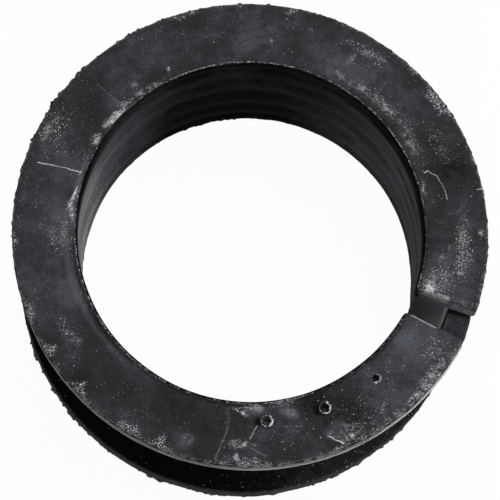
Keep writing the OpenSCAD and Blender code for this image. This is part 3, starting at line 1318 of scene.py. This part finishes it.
    def worn(self) -> Socket:
        """Builds the mask of the rubbed, ashy rubber, with the painted highlights at the split's edges and
        the painted light on the bore's left wall.

        Returns:
            The mask's socket, from 0 to 1.
        """
        t = self.t
        mottle = self.mottle
        streaks = t.noise(t.vector("MULTIPLY", self.section, (0.5, 2.5, 3.5)), 1.2, 4.0, 0.65)
        bands = t.noise(t.vector("MULTIPLY", self.mm, (0.06, 0.06, 1.0)), 0.8, 3.0, 0.6)
        rubbed = t.product(t.stored("rubbed"), t.ramp(t.total(self.flaky, mottle), 0.92, 1.3, 0.4, 1.6))
        end = t.product(self.at_end, t.ramp(mottle, 0.4, 0.6, 0.45, 1.0))
        layers = [
            (rubbed, 1.0),
            (t.product(self.rim_line, t.ramp(mottle, 0.36, 0.56, 0.35, 1.0)), 1.0),
            (end, t.ramp(streaks, 0.4, 0.62, 0.15, 0.9)),
            (t.stored("wall_dust"), t.ramp(bands, 0.4, 0.6, 0.35, 1.2)),
        ]
        return t.strongest(layers)

    def pale(self) -> Socket:
        """Builds the mask of everything that is as pale as talc."""
        layers = [*self.talc(), *self.strewn(), *self.on_edges(), *self.torn_places()]
        return self.t.most(self.t.strongest(layers), self.scores())

    def blackened(self) -> Socket:
        """Builds the mask of the painted shade under the lip, along the upper rim and along the bevel's near
        brink, and of the black tears.

        Returns:
            The mask's socket, from 0 to 1.
        """
        t = self.t
        ring = self.ring
        top = ring.height
        # Painted shade under the lip's overhang
        past_lip = t.less(self.radius, t.total(self.lip_reach, ring.bore_r))
        shade_under_lip = t.ramp(past_lip, -0.04, 0.04, 0.6, 0.0)
        shade_under_lip = t.product(shade_under_lip, t.ramp(self.height, top - 1.4, top - 0.5))
        # Painted shade along the upper rim, just below its edge
        rim_crease_shade = t.ramp(t.off(self.height, top - 0.3), 0.08, 0.22, 1.0, 0.0)
        rim_crease_shade = t.product(rim_crease_shade, self.on_rim, t.ramp(self.mottle, 0.42, 0.6, 0.9, 0.2))
        # Painted shade along the bevel's outer brink on the near side
        brink_shade = t.ramp(t.off(self.radius, ring.bore_r + ring.bevel_w), 0.05, 0.16, 1.0, 0.0)
        brink_shade = t.product(brink_shade, t.ramp(self.height, top - 0.2, top - 0.1))
        near_side = t.ramp(t.split(self.mm)[1], 0.0, -10.0)
        brink_shade = t.product(brink_shade, near_side, t.ramp(self.mottle, 0.4, 0.6, 0.15, 0.75))
        return t.most(shade_under_lip, rim_crease_shade, self.tears(), brink_shade)


@dataclass(frozen=True)
class RubberFinish:
    """Moulded black rubber with a dusty bloom, talc, pale scores and rubbed edges, and light and shade
    painted into its colour, lengths in millimetres.
    """

    ring: RingSection
    black: Colour = grey(7)
    deep: Colour = grey(17, (1.0, 1.03, 0.97))
    dark: Colour = grey(44, (0.97, 0.99, 1.05))
    bloom: Colour = grey(87, (0.92, 0.98, 1.14))
    ash: Colour = grey(150, (1.01, 1.0, 0.955))
    talc: Colour = grey(226, (0.97, 1.0, 1.03))
    gloss: float = 0.004
    bump_depth: float = 0.1

    def material(self) -> Material:
        """Makes the rubber's material.

        Returns:
            The material, which reads Object coordinates and the ring's own attributes.
        """
        material = bpy.data.materials.new(SLOT)
        t = fresh_tree(material)
        skin = RubberSkin(self, t)
        pale = skin.pale()
        colour = t.blend(skin.worn(), skin.ground(), self.ash)
        colour = t.blend(pale, colour, self.talc)
        # Painted shade and the bore's tears turn the colour black
        colour = t.blend(skin.blackened(), colour, self.black)
        rough = t.total(0.6, t.product(skin.grain, 0.25))
        rough = t.math("ADD", rough, t.product(pale, 0.3), clamp=True)
        relief = t.total(t.product(skin.grain, 0.5), t.product(pale, 0.4), t.product(skin.mottle, 1.0))
        named = {"Strength": 0.4, "Distance": self.bump_depth * MM, "Height": relief}
        bump = t.add("ShaderNodeBump", named=named).outputs[0]
        named = {"Base Color": colour, "Roughness": rough, "Normal": bump}
        shader = t.add("ShaderNodeBsdfPrincipled", named=named)
        shader.inputs["Specular IOR Level"].default_value = self.gloss
        t.add("ShaderNodeOutputMaterial", shader.outputs[0])
        return material


@dataclass(frozen=True)
class GateStub:
    """One torn stub of rubber where a moulding gate came off, lengths in millimetres."""

    azimuth: float
    circle_r: float
    base: float
    outer_r: float = 0.88
    hole_r: float = 0.69
    hole_off: float = 0.1
    rise: float = 0.6
    rim_talc: float = 1.0
    seed: int = 1
    sides: int = 36

    def rings(self) -> list[tuple[float, float, float, bool]]:
        """Gives the tube's rings from its foot up the outside, over the rim and down its hole.

        Returns:
            For each ring its radius, its share of the rise, its paleness and whether it lies in the hole.
        """
        outside = [(1.08, -0.3, 0.0), (1.06, 0.0, 0.0), (1.0, 0.2, 0.0), (0.98, 0.7, 0.1), (0.96, 0.94, 0.6)]
        outside.append((0.91, 1.0, 1.4))
        inside = [(1.06, 0.96, 1.1), (1.0, 0.86, 0.15), (0.9, 0.5, 0.0), (0.78, 0.0, 0.0), (0.74, -0.3, 0.0)]
        rings = [(self.outer_r * factor, share, pale, False) for factor, share, pale in outside]
        return rings + [(self.hole_r * factor, share, pale, True) for factor, share, pale in inside]

    def tube(self, shape: bmesh.types.BMesh) -> list[float]:
        """Makes the torn tube's points and faces.

        Args:
            shape: The mesh that they go into.

        Returns:
            How pale and torn each point is, ring by ring, with a painted highlight on the side towards the
            right lamp.
        """
        rng = np.random.default_rng(self.seed)
        places = np.arange(self.sides)
        tears = np.append(rng.uniform(-0.55, 0.35, self.sides // 2), 0.0)
        tears = np.interp(places, np.arange(0, self.sides + 1, 2), tears)
        angles = math.tau * places / self.sides
        lobes = 1 + 0.08 * np.cos(2 * angles + self.seed) + 0.09 * np.cos(5 * angles + 2 * self.seed)
        lobes += rng.uniform(-0.08, 0.08, self.sides)
        middle = polar(self.azimuth, self.circle_r, self.base)
        loops = []
        torn = []
        for radius, share, pale, in_hole in self.rings():
            ragged = 0.09 if share > 0.8 else 0.025
            loop = []
            for angle, tear, lobe in zip(angles, tears, lobes):
                spread = radius * (lobe if in_hole else 1 + rng.uniform(-ragged, ragged))
                across = spread * math.cos(angle) - (self.hole_off if in_hole else 0.0)
                up = self.rise * (share + max(share, 0.0) * tear)
                loop.append(shape.verts.new((middle + Vector((across, spread * math.sin(angle), up))) * MM))
                # Painted highlight: the torn rim is paler on its right side, towards the right lamp
                lamp_side_highlight = 0.85 + 0.6 * math.cos(angle + 0.5)
                torn.append(pale * self.rim_talc * lamp_side_highlight * min(max(1.0 + 1.2 * tear, 0.3), 1.0))
            loops.append(loop)
        for lower, upper in zip(loops, loops[1:] + loops[:1]):
            for i in range(self.sides):
                j = (i + 1) % self.sides
                shape.faces.new((lower[i], lower[j], upper[j], upper[i]))
        return torn

    def build(self, name: str, finish: Material) -> Object:
        """Makes the stub as a closed tube with a torn rim.

        Args:
            name: The piece's name.
            finish: The material that it takes.

        Returns:
            The stub's object at the origin.
        """
        shape = bmesh.new()
        torn = self.tube(shape)
        bmesh.ops.recalc_face_normals(shape, faces=shape.faces)
        for face in shape.faces:
            face.smooth = True
        mesh = bpy.data.meshes.new(name)
        shape.to_mesh(mesh)
        shape.free()
        store(mesh, "torn", np.array(torn))
        # The inside of the stub's hole is painted lighter, to make up for its shade
        hole_lit_blooms = [0.4 if in_hole and share < 0.9 else 0.2 for _, share, _, in_hole in self.rings()]
        store(mesh, "bloom", np.repeat(hole_lit_blooms, self.sides))
        store(mesh, "section", np.tile((self.circle_r, self.base / 2, FAR_FROM_END), (len(torn), 1)))
        mesh.materials.append(finish)
        return linked(name, mesh)


class RingDustAndPaintedLight:
    """Talc, bloom and wear of the ring, and the light and shade painted into it, as one number on each of its
    points, with lengths in millimetres.
    """

    def __init__(self, mesh: Mesh, section: RingSection) -> None:
        """Reads where each point lies, and gives the points of the gate holes a place on the section.

        Args:
            mesh: The ring's mesh.
            section: The section that it was swept from.
        """
        self.mesh = mesh
        self.section = section
        count = len(mesh.vertices)
        places = np.zeros(count * 3)
        mesh.vertices.foreach_get("co", places)
        x, y, height_now = places.reshape(-1, 3).T / MM
        marks = np.zeros(count * 3)
        mesh.attributes["section"].data.foreach_get("vector", marks)
        marks = marks.reshape(-1, 3)
        self.in_hole = ~marks.any(axis=1)
        standing = np.stack([np.hypot(x, y), height_now, np.full(count, FAR_FROM_END)], axis=1)
        marks[self.in_hole] = standing[self.in_hole]
        mesh.attributes["section"].data.foreach_set("vector", marks.ravel())
        self.radius, self.z, self.to_end = marks.T
        self.azimuth = np.degrees(np.arctan2(y, x))
        self.around = (self.azimuth - FIRST_END) % 360 + FIRST_END
        self.inside = rise(self.to_end, 0.0, 0.3)
        self.in_bore = self.radius < section.bore_r + section.valley_depth + 0.02
        near = np.abs(self.z - section.flange_t) < 0.3
        self.shelf = hump(self.azimuth, -55, 30) * near * (self.radius > section.groove_floor_r)

    def outside_bore(self) -> np.ndarray:
        """Gives the plain bloom of the skin outside the bore.

        Returns:
            The bloom at each point, with painted shade darkening most of the groove.
        """
        section = self.section
        inner = (self.radius < section.flange_r - 0.3) & (self.z > 0.6) & (self.z < section.height - 0.6)
        upper_end = rise(self.around, -6.8, -0.7) * (self.z < section.flange_t + 0.3)
        hub = rise(self.radius, section.groove_floor_r + 0.4, -0.3)
        hub *= rise(self.z, section.flange_t + 0.8, 1.5)
        hub *= rise(self.z, section.height - section.flange_t - 0.8, -1.5)
        # Painted shade: most of the groove takes a dark bloom, lighter on the groove floor, near the upper
        # end and on the lower flange's face near azimuth -55
        return np.where(inner, -0.5 + 0.85 * self.shelf + 0.95 * upper_end + 0.8 * hub, 0.42)

    def on_wall(self) -> np.ndarray:
        """Gives the bloom of the bore's wall, with painted light and shade.

        Returns:
            The bloom at each point, with a painted lighter band low on the right wall, and painted shade
            under the brow of the lip and where no light falls.
        """
        # Painted light low on the right wall, and painted shade low on the far wall
        low_right_wall_light = 0.6 * hump(self.around, 32, 30) * rise(self.z, 17, -12)
        unlit = 1.1 * hump(self.around, 106, 18) * rise(self.z, 16, -6)
        # Painted shade under the lip's brow
        brow = rise(self.z, self.section.height - 4.4, 1.4) * along(self.around, BROW_SHADE)
        return along(self.around, BORE_BLOOM_AND_LIGHT) - unlit + low_right_wall_light - brow

    def talc(self) -> dict[str, np.ndarray]:
        """Gives the smudges of the upper face, and the plain bloom and specks of all other faces, with the
        holes of the gate stubs painted lighter against their shade.

        Returns:
            One array for each kind of talc, by the name of its attribute.
        """
        section = self.section
        on_top = rise(self.z, section.height - 0.3, 0.2) * self.inside
        masks = {}
        for kind, smudges in SMUDGES.items():
            weights = np.array([smudge.weight(self.azimuth, self.radius) for smudge in smudges]) * on_top
            masks[kind.value] = weights.sum(axis=0) if kind is Talc.BLOOM else weights.max(axis=0)
        plain = np.where(self.in_bore, self.on_wall(), self.outside_bore())
        # Painted light in the holes of the two stubs makes up for the shade in them; the pit's points take a
        # bloom a little below the face's
        plain = np.where(self.in_hole, np.where(self.azimuth < -55, 0.9, 0.1), plain)
        masks[Talc.BLOOM.value] += np.where(self.to_end > 0.05, plain, 1.1)
        on_flange_end = (self.to_end <= 0.02) * (self.z > section.height - section.flange_t - 0.1)
        on_flange_end = on_flange_end * (self.radius > section.groove_floor_r)
        in_bore = self.in_bore * hump(self.around, 162, 9) * hump(self.z, 8, 7)
        layers = [masks[Talc.SPECKS.value], 0.1 * self.shelf, 0.8 * on_flange_end, 0.45 * in_bore]
        masks[Talc.SPECKS.value] = np.max(layers, axis=0)
        return masks

    def wall_dust(self) -> np.ndarray:
        """Gives the pale dust of the bore's wall, with painted light on its left side.

        Returns:
            The paleness at each point, with painted highlights on the crests of the ribs.
        """
        crests = 2 * sum(hump(self.z, crest, 0.6) for crest in self.section.crests())
        dust = along(self.around, WALL_DUST_AND_LIGHT) + crests * along(self.around, CREST_HIGHLIGHT)
        return self.in_bore * dust * rise(self.z, self.section.height - 3.4, -1.5)

    def rubbed(self) -> np.ndarray:
        """Gives how far the outer rims are rubbed.

        Returns:
            The rubbing at each point, strongest on the upper rim and along both flanges' lower edges.
        """
        section = self.section
        low_edge = 0.28 * hump(self.z, 0.3, 0.6)
        top_edge = 0.2 * hump(self.z, section.height - section.flange_t + 0.5, 0.35)
        upper = (0.26 + 0.22 * along(self.around, RIM_WEAR)) * rise(self.z, section.height / 2, 5)
        rim = rise(self.radius, section.flange_r - 0.3, 0.25) * self.inside
        return np.where(self.to_end > 0.05, rim * (0.08 + upper + np.maximum(low_edge, top_edge)), 0.12)

    def paint(self) -> None:
        """Stores everything on the ring's mesh."""
        layers = {
            **self.talc(),
            "rim_talc": along(self.around, RIM_TALC),
            "rim_wear": along(self.around, RIM_WEAR),
            "lip_talc": along(self.around, LIP_TALC) * self.inside,
            "lip_reach": along(self.around, LIP_REACH),
            "end_width": np.where(self.around < 90, 0.75, 0.45),
            "wall_dust": self.wall_dust(),
            "rubbed": self.rubbed(),
        }
        for name, values in layers.items():
            store(self.mesh, name, values)


@dataclass
class Bushing:
    """The whole bushing: the moulded ring and what stands on it, lengths in millimetres."""

    flange_r: float
    height: float
    bore_r: float
    split_at: float = -18.75
    split_angle: float = 7.6
    mark_circle_r: float = 26.9
    mark_first_at: float = -80.0
    mark_step: float = 17.4
    hole_radii: tuple[float, ...] = (0.5, 0.5, 0.52)
    hole_depth: float = 0.8

    def ring(self, section: RingSection, marks: list[float], finish: Material) -> Object:
        """Makes the moulded ring with its gate holes, its dust and its painted light and shade.

        Args:
            section: The ring's section.
            marks: Directions of the gate marks in degrees.
            finish: The rubber's material.

        Returns:
            The ring's object at the origin.
        """
        ring = SweptRing(section, self.split_at, self.split_angle).build("rubber_ring", finish)
        mouths = [polar(mark, self.mark_circle_r, self.height) for mark in marks]
        pierce(ring, list(zip(mouths, self.hole_radii)), self.hole_depth, finish)
        RingDustAndPaintedLight(ring.data, section).paint()
        return ring

    def stubs(self, marks: list[float], finish: Material) -> list[Object]:
        """Makes what is left of the gates: two torn stubs, and the low torn edge of a pit.

        Args:
            marks: Directions of the gate marks in degrees.
            finish: The rubber's material.

        Returns:
            The stubs' objects.
        """
        stubs = [
            GateStub(marks[0], self.mark_circle_r, self.height, seed=3),
            GateStub(marks[1], self.mark_circle_r, self.height, rise=0.55, seed=8),
            GateStub(marks[2], self.mark_circle_r, self.height, 0.78, 0.56, rise=0.08, rim_talc=0.32, seed=5),
        ]
        return [stub.build(f"gate_stub_{i + 1}", finish) for i, stub in enumerate(stubs)]

    def build(self) -> None:
        """Makes every piece, from the ring to the stubs, and ties each to its body."""
        section = RingSection(self.flange_r, self.height, self.bore_r)
        rubber = RubberFinish(section).material()
        marks = [self.mark_first_at + i * self.mark_step for i in range(len(self.hole_radii))]
        ring = self.ring(section, marks, rubber)
        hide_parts(NODE)
        for piece in (ring, *self.stubs(marks, rubber)):
            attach(piece, BODY)
            LOG.info("%s: %d faces", piece.name, len(piece.data.polygons))


@dataclass(frozen=True)
class Lamp:
    """One soft lamp of the studio, lengths in metres."""

    name: str
    place: tuple[float, float, float]
    size: float
    watts: float

    def build(self, aim: Vector) -> None:
        """Makes the lamp.

        Args:
            aim: The point that it shines at.
        """
        light = bpy.data.lights.new(self.name, "AREA")
        light.shape = "DISK"
        light.size = self.size
        light.energy = self.watts
        lamp = linked(self.name, light)
        lamp.location = self.place
        lamp.rotation_euler = (aim - Vector(self.place)).to_track_quat("-Z", "Y").to_euler()


@dataclass(frozen=True)
class CameraView:
    """The photograph's view of the bushing, lengths in millimetres and angles in degrees."""

    aim: tuple[float, float, float]
    distance: float = 379.4
    elevation: float = 76.2
    roll: float = 5.36
    lens: float = 198.1
    sensor: float = 36.0

    def build(self) -> None:
        """Makes the scene's camera."""
        data = bpy.data.cameras.new("camera")
        data.lens = self.lens
        data.sensor_width = self.sensor
        data.clip_start = 0.01
        camera = linked("camera", data)
        rise = math.radians(self.elevation)
        back = Vector((0.0, -math.cos(rise), math.sin(rise)))
        turn = Matrix.Rotation(math.radians(self.roll), 4, "Z")
        facing = back.to_track_quat("Z", "Y").to_matrix().to_4x4() @ turn
        camera.matrix_world = Matrix.Translation((Vector(self.aim) + back * self.distance) * MM) @ facing
        bpy.context.scene.camera = camera


@dataclass
class Studio:
    """Plain white floor, soft lamps and a white surround. Only the floor's gap is in millimetres."""

    floor_size: float = 3.0
    floor_gap: float = 0.05
    floor_glow: float = 0.97
    ambient: float = 0.1
    lamps: tuple[Lamp, ...] = (
        Lamp("overhead_lamp", (0.12, 0.25, 0.75), 0.5, 3.5),
        Lamp("right_lamp", (0.7, 0.15, 0.5), 0.4, 2.7),
        Lamp("left_lamp", (-0.6, 0.28, 0.5), 0.4, 1.1),
        Lamp("front_lamp", (0.0, -0.6, 0.45), 0.5, 1.1),
    )

    @staticmethod
    def seen_directly(t: Tree) -> Socket:
        """Gives 1 to rays that show the background itself, and 0 to those that light the object."""
        path = t.add("ShaderNodeLightPath").outputs
        return t.most(path["Is Camera Ray"], path["Is Transmission Ray"], path["Is Glossy Ray"])

    def floor(self) -> None:
        """Makes the floor, which looks white to the camera but keeps the object's shadow."""
        half = self.floor_size / 2
        mesh = bpy.data.meshes.new("floor")
        corners = [(-half, -half, 0), (half, -half, 0), (half, half, 0), (-half, half, 0)]
        mesh.from_pydata(corners, [], [(0, 1, 2, 3)])
        floor = linked("floor", mesh)
        floor.location.z = -self.floor_gap * MM
        material = bpy.data.materials.new("floor_paper")
        t = fresh_tree(material)
        paper = t.add("ShaderNodeBsdfDiffuse", grey(238)).outputs[0]
        glow = t.add("ShaderNodeEmission", (1.0, 1.0, 1.0, 1.0), 1.0).outputs[0]
        share = t.product(self.seen_directly(t), self.floor_glow)
        t.add("ShaderNodeOutputMaterial", t.add("ShaderNodeMixShader", share, paper, glow).outputs[0])
        mesh.materials.append(material)
        floor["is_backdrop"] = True

    def surround(self) -> None:
        """Makes the world: white where it is seen, dimmer where it lights the object."""
        world = bpy.data.worlds.new("studio")
        t = fresh_tree(world)
        strength = t.ramp(self.seen_directly(t), 0.0, 1.0, self.ambient, 1.0)
        backdrop = t.add("ShaderNodeBackground", (1.0, 1.0, 1.0, 1.0), strength).outputs[0]
        t.add("ShaderNodeOutputWorld", backdrop)
        bpy.context.scene.world = world

    def build(self, aim: Vector) -> None:
        """Makes the whole studio.

        Args:
            aim: The point that its lamps shine at.
        """
        self.floor()
        self.surround()
        for lamp in self.lamps:
            lamp.build(aim)
        bpy.context.scene.view_settings.view_transform = "Standard"


def main() -> None:
    """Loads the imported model, builds the bushing around it and sets up the studio."""
    logging.basicConfig(level=logging.INFO, format="%(name)s: %(message)s")
    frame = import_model()
    low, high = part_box(NODE)
    mounts = {mount["name"]: mount for mount in frame["record"]["mounts"]}
    height = 2 * mounts["bore"]["pos_m"][2] / MM
    bushing = Bushing(
        flange_r=round((high[0] - low[0]) / 2 / MM, 1),
        height=height,
        bore_r=mounts["bore"]["dims"]["r_mm"],
    )
    bushing.build()
    CameraView(aim=(0.19, -2.8, height)).build()
    Studio().build(Vector((0.0, 0.0, height * MM)))
    low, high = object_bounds()


if __name__ == "__main__":
    main()
